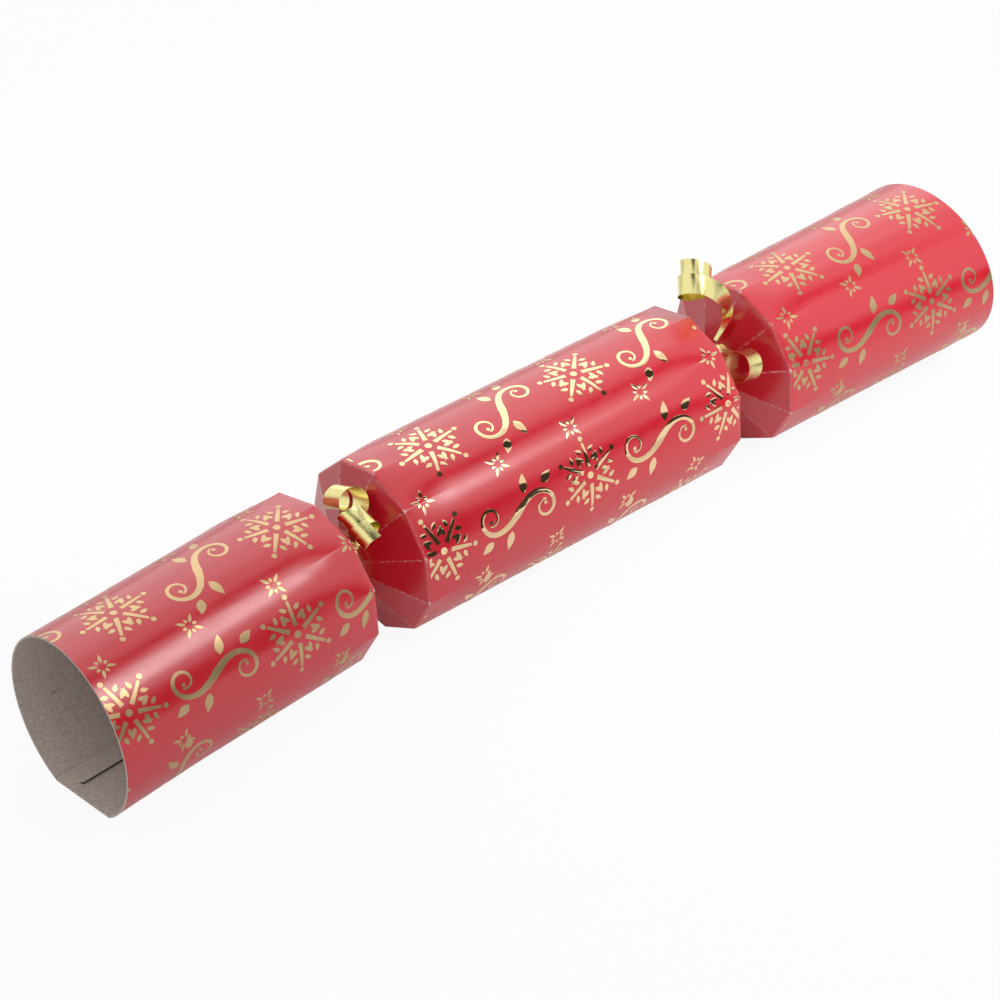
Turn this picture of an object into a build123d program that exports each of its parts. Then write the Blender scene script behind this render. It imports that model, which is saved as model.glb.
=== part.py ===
from build123d import *
import math
import os

# A pull cracker: three sections of one rolled board tube, closed at two tied necks.
# Millimetres and degrees. X runs along the barrel, Z is up, the lap seam lies flat on Z = 0.

# Board tube
panel_count = 11
tube_radius = 22.75
board = 0.45
barrel_length = 104.0
neck_length = 18.0
end_length = 75.7
round_off_length = 14.0
left_end_bend = 4.9

# Open mouths: how far the flat seam reaches forward on the left, how the right one is squashed
left_seam_front = 14.5
right_mouth_spread = 2.6
right_mouth_drop = 1.1
right_mouth_shift = 1.6

# Lap seam inside every section
lap_width = 6.7
lap_chamfer = 3.2

# Necks
collar_length = 1.75
tear_clearance = 0.2
neck_clearance = 0.6
gusset_start_share = 0.10
gusset_end_share = 0.78
gusset_fold = 3.4
gusset_inset = 0.5
gusset_clearance = 0.15

# Snap
strip_width = 10.4
strip_thickness = 0.4
powder_thickness = 0.15
powder_clearance = 0.1
powder_length = 16.0
powder_width = 5.0
snap_overlap = 24.0
wrapper_length = 34.0
wrapper_wall = 0.2
wrapper_clearance = 0.15
strip_straight_past_neck = 6.0
strip_rise_length = 40.0
strip_glued_length = 16.0
glue_gap = 0.25

# Loose contents, resting on the barrel wall
content_clearance = 0.3
hat_radius = 7.0
hat_hollow = 2.4
hat_length = 80.0
hat_angle = -130.0
hat_lap = 0.5
motto_radius = 2.3
motto_paper = 0.5
motto_length = 62.0
motto_slit = 0.6
disc_radius = 8.0
disc_thickness = 3.0
disc_cone = 5.0
disc_angle = -42.0
disc_place = 28.0
spindle_radius = 1.2
spindle_length = 21.0
spindle_fit = 0.02
spindle_point = 2.0

# Gold ribbon
ribbon_width = 5.5
ribbon_thickness = 0.2
tie_width = 1.9
tie_thickness = 1.2
tie_clearance = 0.25
knot_radius = 1.7
tail_clearance = 0.3
stations_per_turn = 16
lead_stations = 9
left_knot_angle = 118.0
right_knot_angle = 98.0

# Worked out from the sizes above
half_side = math.pi / panel_count
axis_height = tube_radius * math.cos(half_side)
inner_radius = tube_radius - board
neck_place = barrel_length / 2 + neck_length / 2
end_rim = barrel_length / 2 + neck_length
end_round = end_rim + round_off_length
end_mouth = end_rim + end_length
powder_space = 2 * powder_thickness + powder_clearance
wrapper_height = 2 * strip_thickness + powder_space + 2 * wrapper_clearance + 2 * wrapper_wall
wrapper_width = strip_width + 2 * wrapper_clearance + 2 * wrapper_wall
neck_bore_radius = (math.hypot(wrapper_width, wrapper_height) / 2 + neck_clearance) / math.cos(half_side)
neck_radius = neck_bore_radius + board / math.cos(half_side)
tear_gap = 2 * neck_radius * math.sin(math.radians(left_end_bend)) + tear_clearance
facet_reach = neck_length / 2 - collar_length
tie_inner_radius = neck_radius + tie_clearance
tie_outer_radius = tie_inner_radius + tie_thickness
left_neck = Vector(-neck_place, 0, axis_height)
right_neck = Vector(neck_place, 0, axis_height)
bend_axis = Axis(left_neck, (0, 0, 1))


def corner(index, radius, x):
    angle = -math.pi / 2 + half_side * (2 * index + 1)
    return Vector(x, radius * math.cos(angle), axis_height + radius * math.sin(angle))


def mouth_shape(side):
    """Half width, half height, sideways shift and centre height of an open mouth."""
    if side < 0:
        return tube_radius, tube_radius, 0, axis_height
    tall = tube_radius - right_mouth_drop
    return tube_radius + right_mouth_spread, tall, right_mouth_shift, tall * math.cos(half_side)


def mouth_x(side, y):
    """Where the mouth lies before its end is bent: once bent, it is square to the barrel."""
    if side > 0:
        return end_mouth
    bend = math.radians(left_end_bend)
    return -neck_place - (end_mouth - neck_place - y * math.sin(bend)) / math.cos(bend)


def mouth_corner(index, side, inset):
    wide, tall, shift, centre = mouth_shape(side)
    seam_front = half_side if side > 0 else math.asin(left_seam_front / tube_radius)
    span = 2 * math.pi - half_side - seam_front
    angle = -math.pi / 2 + half_side + span * (index % panel_count) / (panel_count - 1)
    y = shift + (wide - inset) * math.cos(angle)
    return Vector(mouth_x(side, y), y, centre + (tall - inset) * math.sin(angle))


def outline(corner_at, is_round):
    """Closed outline through the panel corners: straight sides, or arcs and the flat seam side."""
    edges = []
    for index in range(panel_count):
        first = corner_at(index)
        last = corner_at(index + 1)
        is_seam = index == panel_count - 1
        if is_round and not is_seam:
            edges.append(ThreePointArc(first, corner_at(index + 0.5), last))
        else:
            edges.append(Line(first, last))
    return Wire(edges)


def section(x, radius, is_round):
    return outline(lambda index: corner(index, radius, x), is_round)


def mouth_section(side, inset):
    return outline(lambda index: mouth_corner(index, side, inset), True)


def prism(x, length, radius, is_round):
    return extrude(Face(section(x, radius, is_round)), amount=length, dir=(1, 0, 0))


def rim_blend(x_rim, outward, radius):
    """The stretch where the faceted rim fades into the round tube."""
    rim = section(x_rim, radius, False)
    round_end = section(x_rim + outward * round_off_length, radius, True)
    return Solid.make_loft([rim, round_end], ruled=True)


def flap_end(crease, front, cut_back):
    """An end of the lap flap, sunk halfway into the wall that it is glued to."""
    across = (front - crease).normalized()
    free = crease + across * lap_width + Vector(cut_back, 0, 0)
    lift = across.cross(Vector(1, 0, 0)).normalized() * (board / 2 + board)
    return Wire.make_polygon([crease, free, free + lift, crease + lift])


def tube_flap_end(x):
    radius = tube_radius - board / 2
    return flap_end(corner(0, radius, x), corner(panel_count - 1, radius, x), 0)


def mouth_flap_end(side):
    """At a mouth the flap is cut back from its crease to its free edge."""
    crease = mouth_corner(0, side, board / 2)
    front = mouth_corner(panel_count - 1, side, board / 2)
    return flap_end(crease, front, -side * lap_chamfer)


def barrel_sleeve():
    x_low = -barrel_length / 2
    x_high = barrel_length / 2
    straight = barrel_length - 2 * round_off_length
    walls = []
    for radius in (tube_radius, inner_radius):
        body = prism(x_low + round_off_length, straight, radius, True)
        body += rim_blend(x_low, 1, radius)
        body += rim_blend(x_high, -1, radius)
        walls.append(body)
    flap = Solid.make_loft([tube_flap_end(x_low), tube_flap_end(x_high)], ruled=True)
    return walls[0] - walls[1] + flap


def end_sleeve(side):
    """An end section, its rim towards the neck and its mouth away from it."""
    x_rim = side * end_rim
    x_round = side * end_round
    walls = []
    for inset in (0, board):
        radius = tube_radius - inset
        body = Solid.make_loft([section(x_round, radius, True), mouth_section(side, inset)], ruled=True)
        body += rim_blend(x_rim, side, radius)
        walls.append(body)
    flap_ends = [tube_flap_end(x_rim), tube_flap_end(x_round), mouth_flap_end(side)]
    return walls[0] - walls[1] + Solid.make_loft(flap_ends, ruled=True)


def facet_normal_x():
    """Share of a facet's normal that points along the tube."""
    fall = (tube_radius - neck_radius) * math.cos(half_side)
    return fall / math.hypot(fall, facet_reach)


def facet_ring(x_rim, toward):
    """Folded facets from a rim to the neck, with half of the neck's collar."""
    x_neck = x_rim + toward * facet_reach
    collar = collar_length - tear_gap / 2
    shift = toward * board / facet_normal_x()
    outer = Solid.make_loft([section(x_rim, tube_radius, False), section(x_neck, neck_radius, False)], ruled=True)
    outer += prism(min(x_neck, x_neck + toward * collar), collar, neck_radius, False)
    rim_inside = section(x_rim - shift, tube_radius, False)
    neck_inside = section(x_neck - shift, neck_radius, False)
    inner = Solid.make_loft([rim_inside, neck_inside], ruled=True)
    bore_length = 2 * (abs(shift) + collar)
    x_bore = x_neck + toward * collar - bore_length / 2
    inner += prism(x_bore, bore_length, neck_bore_radius, False)
    return outer - inner


def gussets(x_rim, toward):
    """The folded webs between the facets, each laid flat under its facet."""
    x_neck = x_rim + toward * facet_reach
    plates = []
    for index in range(panel_count):
        rim_a = corner(index, tube_radius, x_rim)
        rim_b = corner(index + 1, tube_radius, x_rim)
        neck_a = corner(index, neck_radius, x_neck)
        along = (rim_b - rim_a).normalized()
        ridge = neck_a - rim_a
        inward = along.cross(ridge).normalized()
        if inward.X * toward > 0:
            inward = inward * -1
        lift = inward * (board + gusset_clearance)
        head = rim_a + ridge * gusset_start_share + along * gusset_inset + lift
        foot = rim_a + ridge * gusset_end_share + along * gusset_inset + lift
        wire = Wire.make_polygon([head, foot, foot + along * gusset_fold])
        plates.append(extrude(Face(wire), amount=2 * board, dir=inward))
    return Compound(plates)


def strip_profile(points, thickness):
    """A card strip seen from the side, from its lower line and its thickness."""
    upper = [point + Vector(0, 0, thickness) for point in points]
    wire = Wire.make_polygon(points + upper[::-1])
    face = Face(wire)
    return extrude(face.moved(Location((0, -strip_width / 2, 0))), amount=strip_width, dir=(0, 1, 0))


def strip_ceiling(side, x):
    """Height that a strip's top may reach under the inner wall of its end."""
    inset = board + glue_gap
    round_height = axis_height + math.sqrt((tube_radius - inset) ** 2 - (strip_width / 2) ** 2)
    wide, tall, shift, centre = mouth_shape(side)
    edge_share = (strip_width / 2 + abs(shift)) / (wide - inset)
    mouth_height = centre + (tall - inset) * math.sqrt(1 - edge_share ** 2)
    share = (abs(x) - end_round) / (end_mouth - end_round)
    return round_height + (mouth_height - round_height) * share


def snap_strip(side, bend):
    """Card strip from the middle of the snap through a neck, glued inside an end."""
    low = powder_space / 2 if side > 0 else -powder_space / 2 - strip_thickness
    z_low = axis_height + low
    x_inner = -side * snap_overlap / 2
    x_neck = side * neck_place
    x_rise = x_neck + side * strip_straight_past_neck
    x_wall = x_rise + side * strip_rise_length
    x_tip = x_wall + side * strip_glued_length
    inner_run = [Vector(x_inner, 0, z_low), Vector(x_rise, 0, z_low)]
    outer_run = [Vector(x_neck, 0, z_low), Vector(x_rise, 0, z_low)]
    for x in (x_wall, x_tip):
        outer_run.append(Vector(x, 0, strip_ceiling(side, x) - strip_thickness))
    if bend == 0:
        return strip_profile(inner_run[:1] + outer_run[1:], strip_thickness)
    inner_run[1] = Vector(x_neck + side * strip_width / 4, 0, z_low)
    tail = strip_profile(outer_run, strip_thickness).rotate(bend_axis, bend)
    return strip_profile(inner_run, strip_thickness) + tail


def powder_patch(side):
    """Charge on the lower strip, or abrasive on the upper one."""
    z_middle = axis_height + side * (powder_space - powder_thickness) / 2
    return Pos(0, 0, z_middle) * Box(powder_length, powder_width, powder_thickness)


def snap_wrapper():
    outer = Box(wrapper_length, wrapper_width, wrapper_height)
    inner = Box(wrapper_length, wrapper_width - 2 * wrapper_wall, wrapper_height - 2 * wrapper_wall)
    return Pos(0, 0, axis_height) * (outer - inner)


def wall_place(angle, radius, x):
    """Centre of a round thing that rests on the barrel's inner wall."""
    reach = inner_radius - content_clearance - radius
    turn = math.radians(angle)
    return Pos(x, reach * math.cos(turn), axis_height + reach * math.sin(turn))


def along_x(radius, length):
    return Rot(0, 90, 0) * Cylinder(radius, length)


def paper_hat():
    """Folded tissue crown, rolled up, with the lap of its last turn."""
    roll = along_x(hat_radius - hat_lap, hat_length) - along_x(hat_hollow, hat_length)
    last_turn = along_x(hat_radius, hat_length) - along_x(hat_radius - hat_lap, hat_length)
    half = Pos(0, 0, hat_radius) * Box(hat_length, 4 * hat_radius, 2 * hat_radius)
    return wall_place(hat_angle, hat_radius, 0) * (roll + (last_turn & half))


def motto_slip():
    """Rolled paper slip with an open slit along it."""
    roll = along_x(motto_radius, motto_length) - along_x(motto_radius - motto_paper, motto_length)
    roll -= Pos(0, 0, motto_radius) * Box(motto_length, motto_slit, 2 * motto_paper + motto_radius / 2)
    seam_floor = inner_radius * math.cos(half_side) - board
    return Pos(0, 0, axis_height - seam_floor + motto_radius + content_clearance) * roll


def top_disc():
    profile = [(spindle_radius + spindle_fit, 0), (disc_radius, 0), (disc_radius, disc_thickness)]
    profile += [(spindle_radius + spindle_fit, disc_thickness + disc_cone)]
    outline = make_face(Polyline(*[(r, 0, z) for r, z in profile], close=True))
    disc = Rot(0, 90, 0) * revolve(outline, Axis.Z, 360)
    return wall_place(disc_angle, disc_radius, disc_place) * disc


def top_spindle():
    stem = Cylinder(spindle_radius, spindle_length - spindle_point)
    tip = Cone(spindle_radius, spindle_radius / 4, spindle_point)
    spindle = stem + Pos(0, 0, spindle_length / 2) * tip
    shift = (disc_thickness + disc_cone) / 2
    return wall_place(disc_angle, disc_radius, disc_place + shift) * Rot(0, 90, 0) * spindle


def knot_place(neck, angle, height):
    turn = math.radians(angle)
    reach = tie_outer_radius + height
    return neck + Vector(0, reach * math.cos(turn), reach * math.sin(turn))


def ribbon_tie(neck, angle):
    """Ribbon drawn tight round the neck, with its knot."""
    ring = along_x(tie_outer_radius, tie_width) - along_x(tie_inner_radius, tie_width)
    knot = Pos(*knot_place(neck, angle, knot_radius / 2)) * Sphere(knot_radius)
    bore = Pos(*neck) * along_x(tie_inner_radius + tie_thickness / 2, 4 * knot_radius)
    return Pos(*neck) * ring + (knot - bore)


def curl_frame(axis):
    along = Vector(*axis).normalized()
    side = along.cross(Vector(0, 0, 1)).normalized()
    return along, side, side.cross(along)


def curl_point(neck, curl, turn):
    along, side, rise = curl_frame(curl["axis"])
    angle = math.radians(curl["start"]) + curl["hand"] * 2 * math.pi * turn
    step = curl["pitch"] * (turn - curl["turns"] / 2)
    out = side * math.cos(angle) + rise * math.sin(angle)
    radius = curl["radius"] + curl["grow"] * turn
    return neck + Vector(*curl["centre"]) + along * step + out * radius


def curl_line(neck, knot, curl):
    """Middle line of a ribbon tail: a lead from its place on the knot, then the curl's helix."""
    knot = knot + Vector(*curl["place"])
    first = curl_point(neck, curl, 0)
    heading = (curl_point(neck, curl, 0.01) - first).normalized()
    pull_out = knot + Vector(*curl["leave"])
    pull_in = first - heading * curl["run_in"]
    points = []
    for index in range(lead_stations):
        t = index / lead_stations
        near = knot * (1 - t) ** 3 + pull_out * (3 * t * (1 - t) ** 2)
        points.append(near + pull_in * (3 * t * t * (1 - t)) + first * t ** 3)
    count = round(stations_per_turn * curl["turns"])
    for index in range(count + 1):
        points.append(curl_point(neck, curl, curl["turns"] * index / count))
    return points


def ribbon_tail(neck, knot, curl):
    """Flat ribbon along its middle line, its width turning into line with the curl's axis."""
    points = curl_line(neck, knot, curl)
    along = Vector(*curl["axis"]).normalized()
    wires = []
    edges = []
    for index, point in enumerate(points):
        before = points[max(index - 1, 0)]
        after = points[min(index + 1, len(points) - 1)]
        heading = (after - before).normalized()
        share = min(index / lead_stations, 1)
        across = Vector(*curl["width_at_knot"]).normalized() * (1 - share) + along * share
        across = (across - heading * across.dot(heading)).normalized()
        size = ribbon_width * (curl["pinch"] + (1 - curl["pinch"]) * min(2 * share, 1))
        wires.append((Plane(point, x_dir=across, z_dir=heading) * Rectangle(size, ribbon_thickness)).wire())
        edges.append((point + across * (size / 2), point, point - across * (size / 2)))
    gap = least_gap(edges)
    length = sum((b - a).length for a, b in zip(points, points[1:]))
    print(curl["name"], "length", round(length, 1), "least gap to itself", round(gap, 2))
    return Solid.make_loft(wires, ruled=True)


def least_gap(edges):
    """Smallest distance between stretches of one ribbon that lie half a turn or more apart."""
    apart = stations_per_turn // 2
    gap = math.inf
    for index, ours in enumerate(edges):
        for theirs in edges[index + apart:]:
            for point in ours:
                for other in theirs:
                    gap = min(gap, (point - other).length - ribbon_thickness)
    return gap


left_curls = [
    {"name": "left_front_curl", "place": (-0.9, 0, 0), "centre": (-2.4, -10.0, 19.2),
     "axis": (0.14, -0.92, -0.365), "radius": 2.9, "grow": 0.65, "turns": 1.5, "pitch": 4.4, "start": -100,
     "hand": 1, "leave": (-0.3, 0.6, 3.0), "run_in": 2.5, "width_at_knot": (0, -1, -0.3), "pinch": 0.4},
    {"name": "left_back_curl", "place": (0.9, 0.4, 0), "centre": (2.0, 2.7, 17.0),
     "axis": (0.105, -0.904, 0.414), "radius": 3.1, "grow": -0.2, "turns": 1.34, "pitch": -7.0, "start": -80,
     "hand": -1, "leave": (0.3, 1.0, 3.0), "run_in": 2.5, "width_at_knot": (0, -1, 0), "pinch": 0.4},
]
right_curls = [
    {"name": "right_upper_curl", "place": (0.9, 0.8, 0), "centre": (-4.3, 3.4, 29.7),
     "axis": (0.545, 0.666, 0.509), "radius": 4.9, "grow": -0.7, "turns": 1.4, "pitch": 3.0, "start": 60,
     "hand": 1, "leave": (6.2, 0.8, 4.9), "run_in": 8.5, "width_at_knot": (1, 0, 0), "pinch": 0.35},
    {"name": "right_ring_curl", "place": (0, -1.2, -0.2), "centre": (-0.4, -12.6, 10.7),
     "axis": (0.93, -0.31, -0.2), "radius": 4.85, "grow": -0.5, "turns": 0.96, "pitch": 0.6, "start": 192,
     "hand": 1, "leave": (0.3, -3.0, -0.3), "run_in": 2.0, "width_at_knot": (1, 0, 0), "pinch": 0.5},
]


def ribbon_tails(neck, angle, curls):
    knot = knot_place(neck, angle, 1.5 * knot_radius + tail_clearance)
    return {curl["name"]: ribbon_tail(neck, knot, curl) for curl in curls}


def build_parts():
    barrel_rim = barrel_length / 2
    parts = {
        "barrel_sleeve": barrel_sleeve(),
        "barrel_left_facets": facet_ring(-barrel_rim, -1),
        "barrel_right_facets": facet_ring(barrel_rim, 1),
        "barrel_left_gussets": gussets(-barrel_rim, -1),
        "barrel_right_gussets": gussets(barrel_rim, 1),
        "left_end_sleeve": end_sleeve(-1).rotate(bend_axis, left_end_bend),
        "left_end_facets": facet_ring(-end_rim, 1).rotate(bend_axis, left_end_bend),
        "left_end_gussets": gussets(-end_rim, 1).rotate(bend_axis, left_end_bend),
        "right_end_sleeve": end_sleeve(1),
        "right_end_facets": facet_ring(end_rim, -1),
        "right_end_gussets": gussets(end_rim, -1),
        "left_ribbon_tie": ribbon_tie(left_neck, left_knot_angle),
        "right_ribbon_tie": ribbon_tie(right_neck, right_knot_angle),
        "snap_strip_left": snap_strip(-1, left_end_bend),
        "snap_strip_right": snap_strip(1, 0),
        "snap_charge": powder_patch(-1),
        "snap_abrasive": powder_patch(1),
        "snap_wrapper": snap_wrapper(),
        "paper_hat": paper_hat(),
        "motto_slip": motto_slip(),
        "top_disc": top_disc(),
        "top_spindle": top_spindle(),
    }
    parts.update(ribbon_tails(left_neck, left_knot_angle, left_curls))
    parts.update(ribbon_tails(right_neck, right_knot_angle, right_curls))
    return parts


os.makedirs("parts", exist_ok=True)
for name, part in build_parts().items():
    part.label = name
    export_step(part, f"parts/{name}.step")
print("neck radius", round(neck_radius, 2), "axis height", round(axis_height, 3))
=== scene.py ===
import math
import bmesh
import bpy
from mathutils import Matrix, Vector, noise


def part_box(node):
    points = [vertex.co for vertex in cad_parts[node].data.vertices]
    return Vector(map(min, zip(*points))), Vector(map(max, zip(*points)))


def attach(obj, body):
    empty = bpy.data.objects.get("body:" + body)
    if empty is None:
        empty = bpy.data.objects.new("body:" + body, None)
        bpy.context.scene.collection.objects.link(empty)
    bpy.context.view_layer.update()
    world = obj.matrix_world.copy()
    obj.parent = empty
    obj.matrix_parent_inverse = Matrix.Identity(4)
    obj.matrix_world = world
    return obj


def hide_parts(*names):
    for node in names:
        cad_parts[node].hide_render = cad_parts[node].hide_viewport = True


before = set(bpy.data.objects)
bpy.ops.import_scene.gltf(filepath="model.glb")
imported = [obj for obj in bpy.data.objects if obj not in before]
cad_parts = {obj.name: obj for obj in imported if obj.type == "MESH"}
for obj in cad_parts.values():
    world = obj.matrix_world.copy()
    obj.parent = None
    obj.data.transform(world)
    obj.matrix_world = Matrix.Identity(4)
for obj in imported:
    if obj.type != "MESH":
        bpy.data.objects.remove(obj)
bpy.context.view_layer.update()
mm = 0.001
print("frame loaded:", len(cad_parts), "nodes")

# Sizes that several pieces share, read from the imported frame
panelCount = 11
halfSide = math.pi / panelCount
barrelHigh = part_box("barrel_sleeve")[1]
endLow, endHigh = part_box("right_end_sleeve")
tieLow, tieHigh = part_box("left_ribbon_tie")
tubeRadius = barrelHigh.z / (1 + math.cos(halfSide))
axisHeight = barrelHigh.z - tubeRadius
tieOuter = axisHeight - tieLow.z
neckX = -(tieLow.x + tieHigh.x) / 2
leftNeck = Vector((-neckX, 0, axisHeight))
rightNeck = Vector((neckX, 0, axisHeight))
leftAngle = math.radians(4.9)  # the left end's bend at its neck
leftBend = Matrix.Translation(leftNeck) @ Matrix.Rotation(leftAngle, 4, "Z") @ Matrix.Translation(-leftNeck)


# Camera at the photo's place
cameraView = {
    "place": Vector((-432.5, -456.55, 527.02)) * mm,
    "right": Vector((0.7568, -0.6522, 0.0428)),
    "up": Vector((0.3902, 0.5033, 0.7710)),
    "lens": 115.48,
    "sensor": 36.0,
    "nearest": 0.01,
}


def makeCamera():
    data = bpy.data.cameras.new("photo_camera")
    data.lens = cameraView["lens"]
    data.sensor_width = cameraView["sensor"]
    data.clip_start = cameraView["nearest"]
    camera = bpy.data.objects.new("photo_camera", data)
    right = cameraView["right"].normalized()
    back = right.cross(cameraView["up"]).normalized()
    turn = Matrix((right, back.cross(right), back)).transposed().to_4x4()
    camera.matrix_world = Matrix.Translation(cameraView["place"]) @ turn
    bpy.context.scene.collection.objects.link(camera)
    bpy.context.scene.camera = camera


makeCamera()
print("camera placed")


# Node helpers for the materials
softLevels = (0.3, 0.7)  # noise levels between which a finish changes gently
paperDepth = 0.1 * mm  # height of the grain on board and paper


def startMaterial(name):
    material = bpy.data.materials.new(name)
    material.use_nodes = True
    return material, material.node_tree, material.node_tree.nodes["Principled BSDF"]


def addNode(tree, kind, **values):
    node = tree.nodes.new(kind)
    for key, value in values.items():
        if hasattr(node, key):
            setattr(node, key, value)
        else:
            node.inputs[key.replace("_", " ")].default_value = value
    return node


def objectNoise(tree, scale, detail=4.0, stretch=(1, 1, 1)):
    place = tree.nodes.new("ShaderNodeTexCoord")
    mapping = addNode(tree, "ShaderNodeMapping", Scale=stretch)
    cloud = addNode(tree, "ShaderNodeTexNoise", Scale=scale, Detail=detail)
    tree.links.new(place.outputs["Object"], mapping.inputs["Vector"])
    tree.links.new(mapping.outputs["Vector"], cloud.inputs["Vector"])
    return cloud.outputs["Fac"]


def ramp(tree, source, low, high, lowValue, highValue):
    node = addNode(tree, "ShaderNodeMapRange", From_Min=low, From_Max=high, To_Min=lowValue, To_Max=highValue)
    tree.links.new(source, node.inputs["Value"])
    return node.outputs["Result"]


def mixColor(tree, factor, first, second):
    node = addNode(tree, "ShaderNodeMix", data_type="RGBA")
    tree.links.new(factor, node.inputs["Factor"])
    for socket, colour in zip((node.inputs[6], node.inputs[7]), (first, second)):
        if isinstance(colour, bpy.types.NodeSocket):
            tree.links.new(colour, socket)
        else:
            socket.default_value = (*colour, 1)
    return node.outputs[2]


def multiply(tree, first, second):
    node = addNode(tree, "ShaderNodeMath", operation="MULTIPLY")
    tree.links.new(first, node.inputs[0])
    tree.links.new(second, node.inputs[1])
    return node.outputs[0]


def addBump(tree, shader, height, strength, distance):
    bump = addNode(tree, "ShaderNodeBump", Strength=strength, Distance=distance)
    tree.links.new(height, bump.inputs["Height"])
    tree.links.new(bump.outputs["Normal"], shader.inputs["Normal"])


def redBoardFinish():
    look = {
        "red": (0.58, 0.005, 0.020),
        "deep": (0.53, 0.003, 0.016),
        # pale colour of bare fibre at cracked ridges and nicks, also used for the painted highlight along the
        # rim folds
        "paleFibreAndHighlight": (0.80, 0.62, 0.62),
        "cloudScale": 45,
        "flakeScale": 1100,
        "flakes": (0.44, 0.60, 0.10, 1),  # noise levels, then how much bare fibre or painted fold highlight shows there
        "hazeScale": 260,
        "roughness": (0.19, 0.25),
        "grainScale": 1500,
        "grain": 0.05,
        "gloss": 1.8,
    }
    material, tree, shader = startMaterial("red_coated_board")
    cloud = objectNoise(tree, look["cloudScale"])
    colour = mixColor(tree, cloud, look["deep"], look["red"])
    crackAndFoldHighlight = addNode(tree, "ShaderNodeAttribute", attribute_name="crackAndFoldHighlight")
    flakes = ramp(tree, objectNoise(tree, look["flakeScale"], 3), *look["flakes"])
    # the pale colour is bare fibre on ridges and corner nicks, and a painted highlight along the rim folds
    bareFibreAndHighlight = multiply(tree, crackAndFoldHighlight.outputs["Fac"], flakes)
    tree.links.new(mixColor(tree, bareFibreAndHighlight, colour, look["paleFibreAndHighlight"]), shader.inputs["Base Color"])
    haze = ramp(tree, objectNoise(tree, look["hazeScale"], 3), *softLevels, *look["roughness"])
    tree.links.new(haze, shader.inputs["Roughness"])
    shader.inputs["IOR"].default_value = look["gloss"]
    addBump(tree, shader, objectNoise(tree, look["grainScale"], 2), look["grain"], paperDepth)
    return material


def greyBoardFinish():
    look = {
        "light": (0.71, 0.615, 0.56),
        "dark": (0.535, 0.455, 0.41),
        "speck": (0.16, 0.12, 0.10),
        "mottleScale": 1300,
        "mottle": (0.34, 0.66, 0, 1),  # noise levels, then the share of light pulp
        "speckScale": 700,
        "speckStretch": (0.35, 1, 1),
        "specks": (0.70, 0.76, 0, 0.8),  # noise levels, then the strength of a speck
        "roughness": 0.9,
        "grainScale": 2200,
        "grain": 0.25,
    }
    material, tree, shader = startMaterial("grey_board_inside")
    mottle = ramp(tree, objectNoise(tree, look["mottleScale"], 5), *look["mottle"])
    colour = mixColor(tree, mottle, look["dark"], look["light"])
    specks = ramp(tree, objectNoise(tree, look["speckScale"], 2, look["speckStretch"]), *look["specks"])
    tree.links.new(mixColor(tree, specks, colour, look["speck"]), shader.inputs["Base Color"])
    shader.inputs["Roughness"].default_value = look["roughness"]
    addBump(tree, shader, objectNoise(tree, look["grainScale"], 4), look["grain"], paperDepth)
    return material


def cutEdgeFinish():
    look = {"light": (0.66, 0.56, 0.50), "dark": (0.46, 0.38, 0.33), "fibreScale": 1800, "roughness": 0.95}
    material, tree, shader = startMaterial("cut_board_edge")
    fibres = ramp(tree, objectNoise(tree, look["fibreScale"], 4), *softLevels, 0, 1)
    tree.links.new(mixColor(tree, fibres, look["dark"], look["light"]), shader.inputs["Base Color"])
    shader.inputs["Roughness"].default_value = look["roughness"]
    return material


def foilFinish(name, bright, deep, smoothest, roughest):
    look = {"cloudScale": 320, "hazeScale": 700, "rippleScale": 160, "ripple": 0.10, "rippleDepth": 0.6 * mm}
    material, tree, shader = startMaterial(name)
    cloud = objectNoise(tree, look["cloudScale"], 3)
    tree.links.new(mixColor(tree, cloud, deep, bright), shader.inputs["Base Color"])
    shader.inputs["Metallic"].default_value = 1.0
    haze = ramp(tree, objectNoise(tree, look["hazeScale"], 2), *softLevels, smoothest, roughest)
    tree.links.new(haze, shader.inputs["Roughness"])
    addBump(tree, shader, objectNoise(tree, look["rippleScale"], 2), look["ripple"], look["rippleDepth"])
    return material


def ribbonFinish():
    look = {
        "bright": (0.92, 0.85, 0.42),
        "deep": (0.81, 0.71, 0.25),
        "streakScale": 160,
        "streakStretch": (0.06, 1, 1),
        "roughness": (0.10, 0.20),
        "crinkle": 0.12,
        "crinkleDepth": 0.2 * mm,
    }
    material, tree, shader = startMaterial("gold_ribbon_film")
    across = tree.nodes.new("ShaderNodeUVMap")
    stretch = addNode(tree, "ShaderNodeMapping", Scale=look["streakStretch"])
    streaks = addNode(tree, "ShaderNodeTexNoise", Scale=look["streakScale"], Detail=3)
    tree.links.new(across.outputs["UV"], stretch.inputs["Vector"])
    tree.links.new(stretch.outputs["Vector"], streaks.inputs["Vector"])
    share = streaks.outputs["Fac"]
    tree.links.new(mixColor(tree, share, look["deep"], look["bright"]), shader.inputs["Base Color"])
    shader.inputs["Metallic"].default_value = 1.0
    tree.links.new(ramp(tree, share, *softLevels, *look["roughness"]), shader.inputs["Roughness"])
    addBump(tree, shader, share, look["crinkle"], look["crinkleDepth"])
    return material


def plainFinish(name, light, dark, scale, roughness, bump):
    material, tree, shader = startMaterial(name)
    cloud = ramp(tree, objectNoise(tree, scale, 5), *softLevels, 0, 1)
    tree.links.new(mixColor(tree, cloud, dark, light), shader.inputs["Base Color"])
    shader.inputs["Roughness"].default_value = roughness
    addBump(tree, shader, objectNoise(tree, 3 * scale, 3), bump, paperDepth)
    return material


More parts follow.
